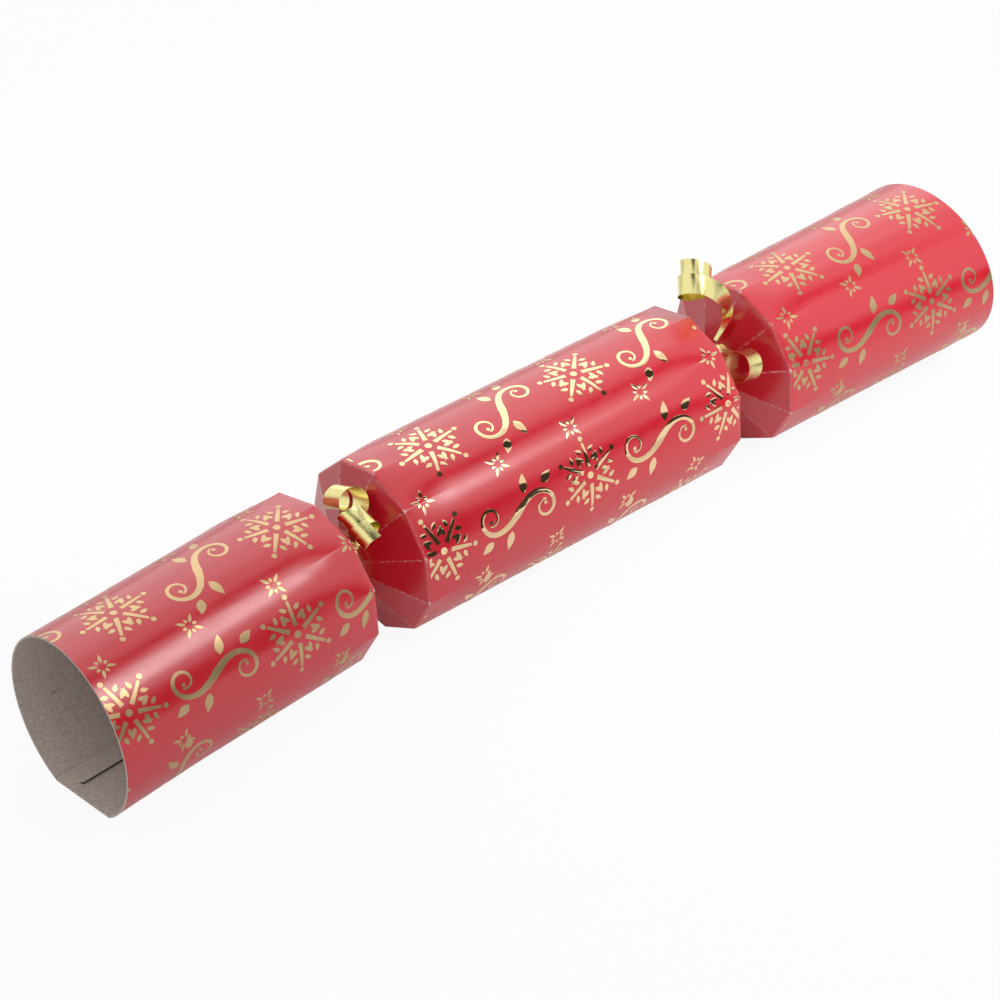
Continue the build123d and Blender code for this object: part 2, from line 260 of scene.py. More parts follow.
redBoard = redBoardFinish()
greyBoard = greyBoardFinish()
cutEdge = cutEdgeFinish()
# near-black brown on the lap flap's free edge: painted shade of the gap between the flap and the wall
paintedShadeFlapEdge = plainFinish("painted_shade_flap_edge", (0.075, 0.052, 0.040), (0.040, 0.028, 0.022), 1800, 0.95, 0.2)
mirrorFoil = foilFinish("mirror_gold_foil", (0.93, 0.68, 0.40), (0.88, 0.62, 0.34), 0.05, 0.09)
satinFoil = foilFinish("satin_gold_foil", (0.63, 0.45, 0.245), (0.56, 0.39, 0.20), 0.30, 0.38)
ribbonGold = ribbonFinish()
snapCard = plainFinish("snap_card", (0.42, 0.34, 0.26), (0.33, 0.26, 0.19), 500, 0.9, 0.2)
snapPowder = plainFinish("snap_powder", (0.10, 0.09, 0.09), (0.04, 0.035, 0.035), 2500, 0.95, 0.8)
snapPaper = plainFinish("snap_wrapper_paper", (0.80, 0.77, 0.70), (0.72, 0.69, 0.62), 700, 0.85, 0.2)
hatTissue = plainFinish("hat_tissue", (0.03, 0.25, 0.07), (0.02, 0.19, 0.05), 900, 0.7, 0.4)
mottoPaper = plainFinish("motto_paper", (0.85, 0.82, 0.74), (0.80, 0.77, 0.69), 900, 0.8, 0.15)
topPlastic = plainFinish("top_plastic", (0.03, 0.10, 0.42), (0.025, 0.085, 0.37), 300, 0.22, 0.03)
stemPlastic = plainFinish("stem_plastic", (0.80, 0.76, 0.66), (0.76, 0.72, 0.62), 300, 0.3, 0.03)
print("finishes made")


# Mesh helpers
def gridSheet(shape, along, across):
    made = bmesh.ops.create_grid(shape, x_segments=along, y_segments=across, size=1)
    places = []
    for vert in made["verts"]:
        i = round((vert.co.x + 1) / 2 * along)
        j = round((vert.co.y + 1) / 2 * across)
        places.append((vert, i, j))
    return places


def closePiece(name, shape, body, materials, move=None):
    if move is not None:
        bmesh.ops.transform(shape, matrix=move, verts=shape.verts)
    for edge in shape.edges:
        edge.smooth = not edge.is_boundary  # crisp cut edges once the sheet has its thickness
    mesh = bpy.data.meshes.new(name)
    shape.to_mesh(mesh)
    shape.free()
    for material in materials:
        mesh.materials.append(material)
    mesh.shade_smooth()
    piece = bpy.data.objects.new(name, mesh)
    bpy.context.scene.collection.objects.link(piece)
    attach(piece, body)
    return piece


def thicken(piece, thickness, offset, inner=0, rim=0):
    wall = piece.modifiers.new("thickness", "SOLIDIFY")
    wall.thickness = thickness
    wall.offset = offset
    wall.material_offset = inner
    wall.material_offset_rim = rim


# Board tube: folded facets at the necks, a rim fold, then a round sleeve
boardShape = {
    "board": 0.45 * mm,
    "roundOff": 15 * mm,  # where the corner creases have faded
    "roundCurve": 0.6,  # how early they fade
    "facetReach": 7.25 * mm,
    "collar": 1.05 * mm,
    "neckRadius": tieOuter - 1.45 * mm,
    "sleeveFrom": 0.99,  # share of the tube's radius where facets end
    "facetRows": 14,
    "foldRadius": 0.75 * mm,
    "foldRows": 5,
    "cornerSteps": (0.16 * mm, 0.36 * mm),  # columns beside each ridge
    "middleSpans": 13,
    "groove": 0.14 * mm,
    "lip": 0.05 * mm,
    "grooveFade": 4,  # how soon a groove fades over the rim fold
    "ridgeAtNeck": 0.35,  # share of the bare fibre that is left at the neck
    "ridgeBare": (1.0, 0.30, 0),  # bare fibre on a ridge and on the columns beside it
    "nickBare": (2.5, 2.5, 0.40),  # the same at a rim corner
    "foldPaintedHighlight": 0.13,  # painted highlight along a rim fold, in the pale fibre colour
    "dish": 0.14 * mm,  # how far a facet's middle sinks
    "wave": 0.06 * mm,
    "waveSize": 24 * mm,
    "fineStep": 1.0 * mm,
    "fineReach": 1.3,  # times roundOff
    "coarseStep": 3.0 * mm,
    "leastStep": 0.4 * mm,
    "weld": 0.002 * mm,
}


# Open mouths: on the left the flat seam reaches far forward, the right one is squashed
mouthShape = {
    "roundOff": 14 * mm,
    "leftSeamFront": 14.5 * mm,
    "rightSpread": 2.6 * mm,
    "rightDrop": 1.1 * mm,
    "rightShift": 1.6 * mm,
    "ease": 1.25,
}


def mouthCorner(side, radius, index):
    look = mouthShape
    wide, tall, shift, centre = radius, radius, 0, axisHeight
    seamFront = math.asin(look["leftSeamFront"] / tubeRadius)
    if side > 0:
        wide, tall, shift = radius + look["rightSpread"], radius - look["rightDrop"], look["rightShift"]
        centre = (tubeRadius - look["rightDrop"]) * math.cos(halfSide)
        seamFront = halfSide
    span = 2 * math.pi - halfSide - seamFront
    angle = -math.pi / 2 + halfSide + span * index / (panelCount - 1)
    y = shift + wide * math.cos(angle)
    reach = endHigh.x - neckX
    if side < 0:  # square to the barrel once the end is bent
        reach = (reach - y * math.sin(leftAngle)) / math.cos(leftAngle)
    return Vector((side * (neckX + reach), y, centre + tall * math.sin(angle)))


def mouthPoint(side, radius, panel, t):
    if panel % panelCount == 0:
        return mouthCorner(side, radius, panelCount - 1).lerp(mouthCorner(side, radius, 0), (t + 1) / 2)
    return mouthCorner(side, radius, panel + t / 2 - 0.5)


def sleevePoint(side, x, radius, roundness, panel, t):
    spot = tubePoint(x, radius, roundness, panel, t)
    start = endLow.x + mouthShape["roundOff"]
    share = max(0, (abs(x) - start) / (endHigh.x - start)) if side else 0
    if share == 0:
        return spot
    away = mouthPoint(side, radius, panel, t) - tubePoint(side * endHigh.x, radius, 1, panel, t)
    return spot + Vector((away.x * share, *(away.yz * share ** mouthShape["ease"])))


def tubePoint(x, radius, roundness, panel, t):
    angle = -math.pi / 2 + panel * 2 * halfSide
    share = 0 if panel % panelCount == 0 else roundness  # the seam panel stays flat
    out = radius * math.cos(halfSide)
    across = radius * math.sin(halfSide) * t
    out += (radius * math.cos(halfSide * t) - out) * share
    across += (radius * math.sin(halfSide * t) - across) * share
    here = angle + halfSide * t
    spot = Vector((x, math.cos(here) * tubeRadius, math.sin(here) * tubeRadius))
    if panel % panelCount != 0:
        out += noise.noise(spot / boardShape["waveSize"]) * boardShape["wave"] * share
    side = Vector((0, -math.sin(angle), math.cos(angle)))
    return Vector((x, 0, axisHeight)) + Vector((0, math.cos(angle), math.sin(angle))) * out + side * across


def roundnessAt(distance):
    share = min(1, max(0, distance / boardShape["roundOff"]))
    return share * (1 + boardShape["roundCurve"] * (1 - share))


def rimRows(rim, toward):
    look = boardShape
    fall = tubeRadius - look["neckRadius"]
    facet = Vector((toward * look["facetReach"], -fall)).normalized()
    sleeve = Vector((-toward, 0))
    corner = Vector((rim, tubeRadius))
    reach = look["foldRadius"] / math.tan(facet.angle(sleeve) / 2)
    foldStart = corner + facet * reach
    foldEnd = corner + sleeve * reach
    neckEnd = Vector((rim + toward * look["facetReach"], look["neckRadius"]))
    rows = [{"x": neckEnd.x + toward * look["collar"], "radius": neckEnd.y, "facet": 0, "fold": 0}]
    for index in range(look["facetRows"]):
        share = index / look["facetRows"]
        spot = neckEnd.lerp(foldStart, share)
        rows.append({"x": spot.x, "radius": spot.y, "facet": share, "fold": 0})
    for index in range(look["foldRows"] + 1):
        share = index / look["foldRows"]
        spot = foldStart.lerp(corner, share).lerp(corner.lerp(foldEnd, share), share)
        rows.append({"x": spot.x, "radius": spot.y, "facet": 1 - share, "fold": 1})
    return rows


def sleeveRows(first, last, rims):
    look = boardShape
    rows = []
    x = first
    forward = 1 if last > first else -1
    while (last - x) * forward > look["fineStep"]:
        nearest = min(abs(x - rim) for rim in rims)
        x += forward * look["fineStep" if nearest < look["fineReach"] * look["roundOff"] else "coarseStep"]
        rows.append({"x": x, "radius": tubeRadius, "facet": 0, "fold": 0})
    return [row for row in rows if (last - row["x"]) * forward > look["leastStep"]]


def columnPlace(column, radius):
    look = boardShape
    half = radius * math.sin(halfSide)
    steps = [0, *look["cornerSteps"]]
    span = look["middleSpans"]
    last = len(steps) - 1
    total = 2 * last + span
    if column <= last:
        return steps[column] / half - 1
    if column >= total - last:
        return 1 - steps[total - column] / half
    inner = 1 - steps[last] / half
    return inner * (2 * (column - last) / span - 1)


def boardPiece(name, body, side, rows, rims, replaced, move=None):
    look = boardShape
    spans = 2 * len(look["cornerSteps"]) + look["middleSpans"]
    shape = bmesh.new()
    crackAndFoldHighlight = shape.verts.layers.float.new("crackAndFoldHighlight")
    for vert, i, j in gridSheet(shape, len(rows) - 1, panelCount * spans):
        row = rows[i]
        panel, column = divmod(j, spans)
        t = columnPlace(column, row["radius"])
        edge = min(column, spans - column)
        distance = min((row["x"] - rim) * (1 if rim < row["x"] else -1) for rim in rims)
        inFacets = row["facet"] > 0 or row["radius"] < look["sleeveFrom"] * tubeRadius
        roundness = 0 if inFacets else roundnessAt(distance)
        radius = row["radius"]
        if inFacets:
            depth = min(1, look["grooveFade"] * row["facet"]) if row["fold"] else 1
            radius -= look["groove"] * depth if edge == 0 else 0
            radius += look["lip"] * depth if edge == 1 else 0
            radius -= look["dish"] * (1 - t * t) * math.sin(math.pi * row["facet"]) * (1 - row["fold"])
            fade = look["ridgeAtNeck"] + (1 - look["ridgeAtNeck"]) * row["facet"]
            vert[crackAndFoldHighlight] = look["ridgeBare"][min(edge, 2)] * fade
        vert.co = sleevePoint(side, row["x"], radius, roundness, panel, t)
        if row["fold"]:
            # on a rim fold the pale colour is a painted highlight all along the fold, with bare fibre at the
            # corner nicks
            highlightAndNick = 1 - (2 * row["facet"] - 1) ** 2
            vert[crackAndFoldHighlight] = highlightAndNick * max(look["foldPaintedHighlight"], look["nickBare"][edge] if edge < 3 else 0)
    bmesh.ops.remove_doubles(shape, verts=shape.verts, dist=look["weld"])
    bmesh.ops.recalc_face_normals(shape, faces=shape.faces)
    piece = closePiece(name, shape, body, (redBoard, greyBoard, cutEdge), move)
    thicken(piece, look["board"], -1, 1, 2)
    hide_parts(*replaced)


def barrelBoard():
    rim = barrelHigh.x
    rows = rimRows(-rim, -1)
    rows += sleeveRows(rows[-1]["x"], -rows[-1]["x"], (-rim, rim))
    rows += reversed(rimRows(rim, 1))
    replaced = ("barrel_sleeve", "barrel_left_facets", "barrel_right_facets")
    boardPiece("barrel_board", "barrel", 0, rows, (-rim, rim), replaced)


def endBoard(side, move):
    name = "left_end" if side < 0 else "right_end"
    rim = side * endLow.x
    mouth = side * endHigh.x
    rows = rimRows(rim, -side)
    rows += sleeveRows(rows[-1]["x"], mouth, (rim,))
    rows.append({"x": mouth, "radius": tubeRadius, "facet": 0, "fold": 0})
    boardPiece(name + "_board", name, side, rows, (rim,), (name + "_sleeve", name + "_facets"), move)


barrelBoard()
endBoard(-1, leftBend)
endBoard(1, None)
print("board tube made")


# Lap flap inside each section, cut back from its crease to its free edge at an open mouth
lapFlap = {
    "width": 6.7 * mm,
    "cut": 3.2 * mm,
    "lift": 0.03 * mm,
    "gape": 0.16 * mm,
    "spans": (60, 8),
}


def lapPiece(name, body, side, move=None):
    look = lapFlap
    along, across = look["spans"]
    first = side * endLow.x if side else -barrelHigh.x
    last = side * endHigh.x if side else barrelHigh.x
    radius = tubeRadius - boardShape["board"] / math.cos(halfSide)
    shape = bmesh.new()
    for vert, i, j in gridSheet(shape, along, across):
        share = j / across
        end = last - side * look["cut"] * share
        x = first + (end - first) * i / along
        crease = sleevePoint(side, x, radius, 0, 0, 1)
        front = sleevePoint(side, x, radius, 0, 0, -1)
        toward = (front - crease).normalized()
        lift = look["lift"] + look["gape"] * share
        vert.co = crease + toward * (look["width"] * share) + toward.cross(Vector((1, 0, 0))) * lift
        if j == across:
            for face in vert.link_faces:
                face.material_index = 2  # grey board again, with the painted shade on the free edge after it
    for face in shape.faces:
        face.normal_update()
        if face.normal.z < 0:
            face.normal_flip()
    piece = closePiece(name, shape, body, (greyBoard, cutEdge, greyBoard, paintedShadeFlapEdge), move)
    thicken(piece, boardShape["board"], 1, 0, 1)


lapPiece("barrel_lap", "barrel", 0)
lapPiece("left_end_lap", "left_end", -1, leftBend)
lapPiece("right_end_lap", "right_end", 1)
print("lap flaps made")


# Foil print: snowflakes, scrolls and small stars on a staggered lattice
foilPrint = {
    "rowPitch": 23.5 * mm,
    "columns": 5,
    "lift": 0.015 * mm,
    "foil": 0.03 * mm,
    "puff": 0.022 * mm,  # how far the stamped barrel print stands up inside its edges
    "edge": 0.20 * mm,
    "leastFlat": 0.4,  # share of a thin stroke that stays flat
    "step": 0.6 * mm,
    "leastSteps": 4,
    "dotSides": 20,
    "leafTip": 0.05,
    "leafLean": 0.8,
    "rowStart": (0.30, 0.5),  # rows that every column is set back, and that odd ones are set back more
    "snowTurn": (0.35, 0.2),  # radians more for each column and row
    "scrollStart": 0.9,
    "scrollTurnBy": (0.55, 1.57),
    "starTurn": 0.3,
    "snowReach": 8.3 * mm,
    "snowHalf": 0.62 * mm,
    "snowMiddle": 1.5,  # times snowHalf, as are snowDot, twigGap and twigHalf
    "snowDot": 1.1,
    "twigGap": 1.55,
    "twigHalf": 0.95,
    "snowArmFrom": 0.27,  # share of snowReach, as are snowDotAt and the twigs' places and lengths
    "snowDotAt": 1.13,
    "snowTwigs": ((0.45, 0.36), (0.72, 0.26)),
    "snowArmTaper": 0.45,
    "scrollLength": 25.5 * mm,
    "scrollTurn": 7.4,  # radians that each end winds
    "scrollHalf": 1.05 * mm,
    "scrollTaper": (0.78, 0.7),
    "scrollLeaves": ((0.16, 0.19), (0.34, 0.16)),  # place and length, shares of scrollLength
    "leafGap": 1.75,
    "leafAngle": 0.85,
    "leafHalf": 1.1,
    "scrollDotAt": 0.9 * mm,
    "scrollDot": 0.5 * mm,
    "starReach": 3.4 * mm,
    "starRays": 8,
    "starShort": 0.62,
    "starFrom": 0.26,
    "starHalf": 0.13,
}


def addStroke(shape, line, halfWidths):
    look = foilPrint
    last = len(line) - 1
    spans = 4  # edge, slope, middle, slope and edge again
    for vert, i, j in gridSheet(shape, last, spans):
        before = line[max(i - 1, 0)]
        after = line[min(i + 1, last)]
        heading = (after - before).normalized()
        side = Vector((-heading.y, heading.x))
        flat = max(look["leastFlat"], 1 - look["edge"] / halfWidths[i])
        place = (-1, -flat, 0, flat, 1)[j]
        spot = line[i] + side * (halfWidths[i] * place)
        raised = i not in (0, last) and j not in (0, spans)
        vert.co = (spot.x, spot.y, look["puff"] * raised)


def addBar(shape, start, end, halfAt):
    count = max(foilPrint["leastSteps"], round((end - start).length / foilPrint["step"]))
    shares = [index / count for index in range(count + 1)]
    addStroke(shape, [start.lerp(end, share) for share in shares], [halfAt(share) for share in shares])


def addDot(shape, centre, radius):
    move = Matrix.Translation(centre.to_3d())
    ring = bmesh.ops.create_circle(shape, cap_ends=True, segments=foilPrint["dotSides"], radius=radius,
                                   matrix=move)["verts"]
    cap = ring[0].link_faces[0]
    bmesh.ops.inset_region(shape, faces=[cap], thickness=foilPrint["edge"])
    for vert in cap.verts:
        vert.co.z = foilPrint["puff"]


def polar(radius, angle):
    return Vector((radius * math.cos(angle), radius * math.sin(angle)))


def leafHalf(width):
    tip = foilPrint["leafTip"]
    lean = foilPrint["leafLean"]
    return lambda share: width * (tip + (1 - tip) * math.sin(math.pi * share ** lean))


def snowflake(shape, turn):
    look = foilPrint
    reach = look["snowReach"]
    half = look["snowHalf"]
    addDot(shape, Vector((0, 0)), look["snowMiddle"] * half)
    for arm in range(6):
        angle = turn + arm * math.pi / 3
        addBar(shape, polar(look["snowArmFrom"] * reach, angle), polar(reach, angle),
               lambda share: half * (1 - look["snowArmTaper"] * share))
        addDot(shape, polar(look["snowDotAt"] * reach, angle), look["snowDot"] * half)
        for place, length in look["snowTwigs"]:
            for side in (-1, 1):
                gap = polar(look["twigGap"] * half, angle + side * math.pi / 2)
                root = polar(place * reach, angle) + gap
                tip = root + polar(length * reach, angle + side * math.pi / 3)
                addBar(shape, root, tip, leafHalf(look["twigHalf"] * half))


def scroll(shape, turn):
    look = foilPrint
    bend = 2 * look["scrollTurn"] / look["scrollLength"] ** 2
    count = round(look["scrollLength"] / look["step"])
    for side in (-1, 1):
        spot = Vector((0, 0))
        line = [spot.copy()]
        for index in range(count):
            run = (index + 0.5) * look["scrollLength"] / count
            spot = spot + polar(side * look["scrollLength"] / count, turn + bend * run * run / 2)
            line.append(spot)
        taper, curve = look["scrollTaper"]
        halves = [look["scrollHalf"] * (1 - taper * (index / count) ** curve) for index in range(count + 1)]
        addStroke(shape, line, halves)
        for root, tip in look["scrollLeaves"]:
            anchor = line[round(root * count)]
            heading = line[round(root * count) + 1] - anchor
            angle = math.atan2(heading.y, heading.x)
            foot = anchor + polar(look["leafGap"] * look["scrollHalf"], angle - math.pi / 2)
            addBar(shape, foot, foot + polar(tip * look["scrollLength"], angle - look["leafAngle"]),
                   leafHalf(look["leafHalf"] * look["scrollHalf"]))
        beyond = polar(look["scrollDotAt"], turn + look["scrollTurn"] + math.pi / 2 * side)
        addDot(shape, line[-1] + beyond, look["scrollDot"])


def star(shape, turn):
    look = foilPrint
    reach = look["starReach"]
    for ray in range(look["starRays"]):
        angle = turn + ray * 2 * math.pi / look["starRays"]
        tip = reach if ray % 2 == 0 else look["starShort"] * reach
        addBar(shape, polar(look["starFrom"] * reach, angle), polar(tip, angle),
               leafHalf(look["starHalf"] * reach))


def printSection(shape, low, high):
    look = foilPrint
    usable = 2 * (math.pi - halfSide) * tubeRadius
    pitch = usable / look["columns"]
    for column in range(look["columns"]):
        v = halfSide * tubeRadius + pitch * (column + 0.5)
        start = low - look["rowPitch"] * (look["rowStart"][0] + look["rowStart"][1] * (column % 2))
        for row in range(math.ceil((high - low) / look["rowPitch"]) + 2):
            u = start + row * look["rowPitch"]
            flat = bmesh.new()
            if (row + column // 2) % 2 == 0:
                snowflake(flat, look["snowTurn"][0] * column + look["snowTurn"][1] * row)
            else:
                turns = look["scrollTurnBy"]
                scroll(flat, look["scrollStart"] + turns[0] * column + turns[1] * row)
            if column > 0:
                small = bmesh.new()
                star(small, look["starTurn"] * row)
                bmesh.ops.translate(small, verts=small.verts, vec=(0, -pitch / 2, 0))
                joinShape(flat, small)
            bmesh.ops.translate(flat, verts=flat.verts, vec=(u, v, 0))
            joinShape(shape, flat)


def joinShape(shape, other):
    mesh = bpy.data.meshes.new("part")
    other.to_mesh(mesh)
    other.free()
    shape.from_mesh(mesh)
    bpy.data.meshes.remove(mesh)


def foilPiece(name, body, side, low, high, rims, material, move=None):
    look = foilPrint
    raised = 1 if side == 0 else 0
    shape = bmesh.new()
    printSection(shape, low, high)
    for place, outward in ((low, -1), (high, 1)):
        bmesh.ops.bisect_plane(shape, geom=shape.verts[:] + shape.edges[:] + shape.faces[:], dist=1e-8,
                               plane_co=(place, 0, 0), plane_no=(outward, 0, 0), clear_outer=True)
    for vert in shape.verts:
        turn = vert.co.y / tubeRadius / (2 * halfSide)
        panel = round(turn)
        distance = min(abs(vert.co.x - rim) for rim in rims)
        lifted = tubeRadius + look["lift"] + raised * vert.co.z
        vert.co = sleevePoint(side, vert.co.x, lifted, roundnessAt(distance), panel, 2 * (turn - panel))
    for face in shape.faces:
        face.normal_update()
        if face.normal.dot(face.calc_center_median() - Vector((face.verts[0].co.x, 0, axisHeight))) < 0:
            face.normal_flip()
    piece = closePiece(name, shape, body, (material,), move)
    thicken(piece, look["foil"], 1)
    piece.modifiers.new("flat_tops", "WEIGHTED_NORMAL").keep_sharp = True


rimMargin = 0.9 * mm
foilPiece("barrel_foil", "barrel", 0, -barrelHigh.x + rimMargin, barrelHigh.x - rimMargin,
          (-barrelHigh.x, barrelHigh.x), mirrorFoil)
foilPiece("left_end_foil", "left_end", -1, -endHigh.x, -endLow.x - rimMargin,
          (-endLow.x,), satinFoil, leftBend)
foilPiece("right_end_foil", "right_end", 1, endLow.x + rimMargin, endHigh.x, (endLow.x,), satinFoil)
print("foil print made")


# Ribbon ties and their crinkled knots
tieShape = {
    "width": 1.9 * mm,
    "thickness": 1.2 * mm,
    "knot": 1.7 * mm,
    "steps": 132,
    "sides": 18,
    "pleat": 0.16 * mm,
    "pleats": 13,
    "pleatLean": 5,
    "pleatDepth": 0.75,
    "crumple": 0.9 * mm,  # size of the small folds
    "sway": 1.7 * mm,
    "swayStart": Vector((7, 0, 0)),
    "weld": 0.001 * mm,
    "sortAlong": Vector((0.31, 0.57, 0.76)),  # keeps the mesh in the same order on every run
    "knotDegrees": {"left": 118, "right": 98},  # round the neck, from the back over the top
    "beadLevels": 5,
    "beadShare": 0.92,
    "beadFold": 0.75 * mm,
    "beadSwell": 1.05,
    "crush": 0.30,
    "twists": 6,
    "twistLean": 2.2,
    "twistDepth": 0.07,
}


def tiePiece(name, neck, knotDegrees, replaced):
    look = tieShape
    shape = bmesh.new()
    middle = tieOuter - look["thickness"] / 2
    lay = Matrix.Translation(neck + Vector((0, 0, middle))) @ Matrix.Rotation(math.pi / 2, 4, "X")
    flatten = Matrix.Diagonal((look["width"] / 2, look["thickness"] / 2, 1, 1))
    ring = bmesh.ops.create_circle(shape, segments=look["sides"], radius=1, matrix=lay @ flatten)
    bmesh.ops.spin(shape, geom=ring["verts"] + shape.edges[:], cent=neck, axis=(1, 0, 0), dvec=(0, 0, 0),
                   angle=2 * math.pi, steps=look["steps"], use_merge=True)
    for vert in shape.verts:
        spot = vert.co - neck
        angle = math.atan2(spot.z, spot.y)
        radial = Vector((0, spot.y, spot.z)).normalized()
        lean = spot.x / look["width"]
        wave = math.sin(look["pleats"] * angle + look["pleatLean"] * lean)
        fold = wave / 2 + noise.noise(vert.co / look["crumple"])
        vert.co -= radial * look["pleat"] * (look["pleatDepth"] + fold / 2)
        vert.co.x += look["pleat"] * noise.noise(vert.co / look["sway"] + look["swayStart"])
    addKnot(shape, neck, math.radians(knotDegrees))
    bmesh.ops.remove_doubles(shape, verts=shape.verts, dist=look["weld"])
    bmesh.ops.recalc_face_normals(shape, faces=shape.faces)
    shape.verts.sort(key=lambda vert: vert.co.dot(look["sortAlong"]))
    shape.edges.sort(key=lambda edge: (edge.verts[0].co + edge.verts[1].co).dot(look["sortAlong"]))
    shape.faces.sort(key=lambda face: face.calc_center_median().dot(look["sortAlong"]))
    piece = closePiece(name, shape, "barrel", (ribbonGold,))
    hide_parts(replaced)


def addKnot(shape, neck, angle):
    look = tieShape
    place = neck + Vector((0, math.cos(angle), math.sin(angle))) * (tieOuter + look["knot"] / 2)
    radius = look["knot"] * look["beadShare"]
    bead = bmesh.ops.create_icosphere(shape, subdivisions=look["beadLevels"], radius=radius,
                                      matrix=Matrix.Translation(place))["verts"]
    for vert in bead:
        spot = vert.co - place
        folds = abs(noise.noise(spot / look["beadFold"] + Vector((neck.x, 0, 0)) / mm))
        around = math.atan2(spot.z, spot.x)
        twist = math.sin(look["twists"] * around + look["twistLean"] * spot.y / look["knot"])
        vert.co = place + spot * (look["beadSwell"] - look["crush"] * folds - look["twistDepth"] * twist)


tiePiece("left_tie", leftNeck, tieShape["knotDegrees"]["left"], "left_ribbon_tie")
tiePiece("right_tie", rightNeck, tieShape["knotDegrees"]["right"], "right_ribbon_tie")
print("ribbon ties made")


# Ribbon curls, each a lead from its knot and then a helix, with lengths in millimetres
ribbon = {
    "width": 5.5,
    "film": 0.12,
    "cup": 0.16,
    "spans": 10,
    "stationsPerTurn": 16,
    "leadStations": 9,
    "smoothness": 6,
    "knotReach": 1.5,  # times the knot's radius
    "knotGap": 0.3,
    "spread": (1.4, 1.5),  # how fast the pinched lead opens to the full width
    "slant": 0.8,
    "slantRows": 6,
}
leftCurls = [
    {"name": "left_front_curl", "place": (-0.9, 0, 0), "centre": (-2.4, -10.0, 19.2),
     "axis": (0.14, -0.92, -0.365), "radius": 2.9, "grow": 0.65, "turns": 1.5, "pitch": 4.4, "start": -100,
     "hand": 1, "leave": (-0.3, 0.6, 3.0), "runIn": 2.5, "widthAtKnot": (0, -1, -0.3), "pinch": 0.4},
    {"name": "left_back_curl", "place": (0.9, 0.4, 0), "centre": (2.0, 2.7, 17.0),
     "axis": (0.105, -0.904, 0.414), "radius": 3.1, "grow": -0.2, "turns": 1.34, "pitch": -7.0, "start": -80,
     "hand": -1, "leave": (0.3, 1.0, 3.0), "runIn": 2.5, "widthAtKnot": (0, -1, 0), "pinch": 0.4},
]
rightCurls = [
    {"name": "right_upper_curl", "place": (0.9, 0.8, 0), "centre": (-4.3, 3.4, 29.7),
     "axis": (0.545, 0.666, 0.509), "radius": 4.9, "grow": -0.7, "turns": 1.4, "pitch": 4.4, "start": 60,
     "hand": 1, "leave": (6.2, 0.8, 4.9), "runIn": 8.5, "widthAtKnot": (-0.02, -0.81, 0.50), "pinch": 0.30},
    {"name": "right_ring_curl", "place": (0, -1.2, -0.2), "centre": (-0.4, -12.6, 10.7),
     "axis": (0.952, 0.083, -0.296), "radius": 4.35, "grow": -0.35, "turns": 1.07, "pitch": 0.6, "start": 192,
     "hand": 1, "leave": (0.3, -3.0, -0.3), "runIn": 2.0, "widthAtKnot": (1, 0, 0), "pinch": 0.5},
]


def curlPoint(curl, turn):
    along = Vector(curl["axis"]).normalized()
    side = along.cross(Vector((0, 0, 1))).normalized()
    angle = math.radians(curl["start"]) + curl["hand"] * 2 * math.pi * turn
    out = side * math.cos(angle) + side.cross(along) * math.sin(angle)
    step = along * (curl["pitch"] * (turn - curl["turns"] / 2))
    return Vector(curl["centre"]) + step + out * (curl["radius"] + curl["grow"] * turn)


def curlRoute(curl, knot):
    knot = knot + Vector(curl["place"])
    first = curlPoint(curl, 0)
    heading = (curlPoint(curl, 0.01) - first).normalized()
    pullOut = knot + Vector(curl["leave"])
    pullIn = first - heading * curl["runIn"]
    points = []
    for index in range(ribbon["leadStations"]):
        t = index / ribbon["leadStations"]
        near = knot * (1 - t) ** 3 + pullOut * (3 * t * (1 - t) ** 2)
        points.append(near + pullIn * (3 * t * t * (1 - t)) + first * t ** 3)
    count = round(ribbon["stationsPerTurn"] * curl["turns"])
    return points + [curlPoint(curl, curl["turns"] * index / count) for index in range(count + 1)]


def smoothLine(points):
    curve = bpy.data.curves.new("route", "CURVE")
    curve.dimensions = "3D"
    curve.resolution_u = ribbon["smoothness"]
    spline = curve.splines.new("NURBS")
    spline.points.add(len(points) - 1)
    for place, point in zip(spline.points, points):
        place.co = (*point, 1)
    spline.order_u = 3
    spline.use_endpoint_u = True
    holder = bpy.data.objects.new("route", curve)
    mesh = bpy.data.meshes.new_from_object(holder)
    line = [vert.co.copy() for vert in mesh.vertices]
    bpy.data.objects.remove(holder)
    bpy.data.curves.remove(curve)
    bpy.data.meshes.remove(mesh)
    return line


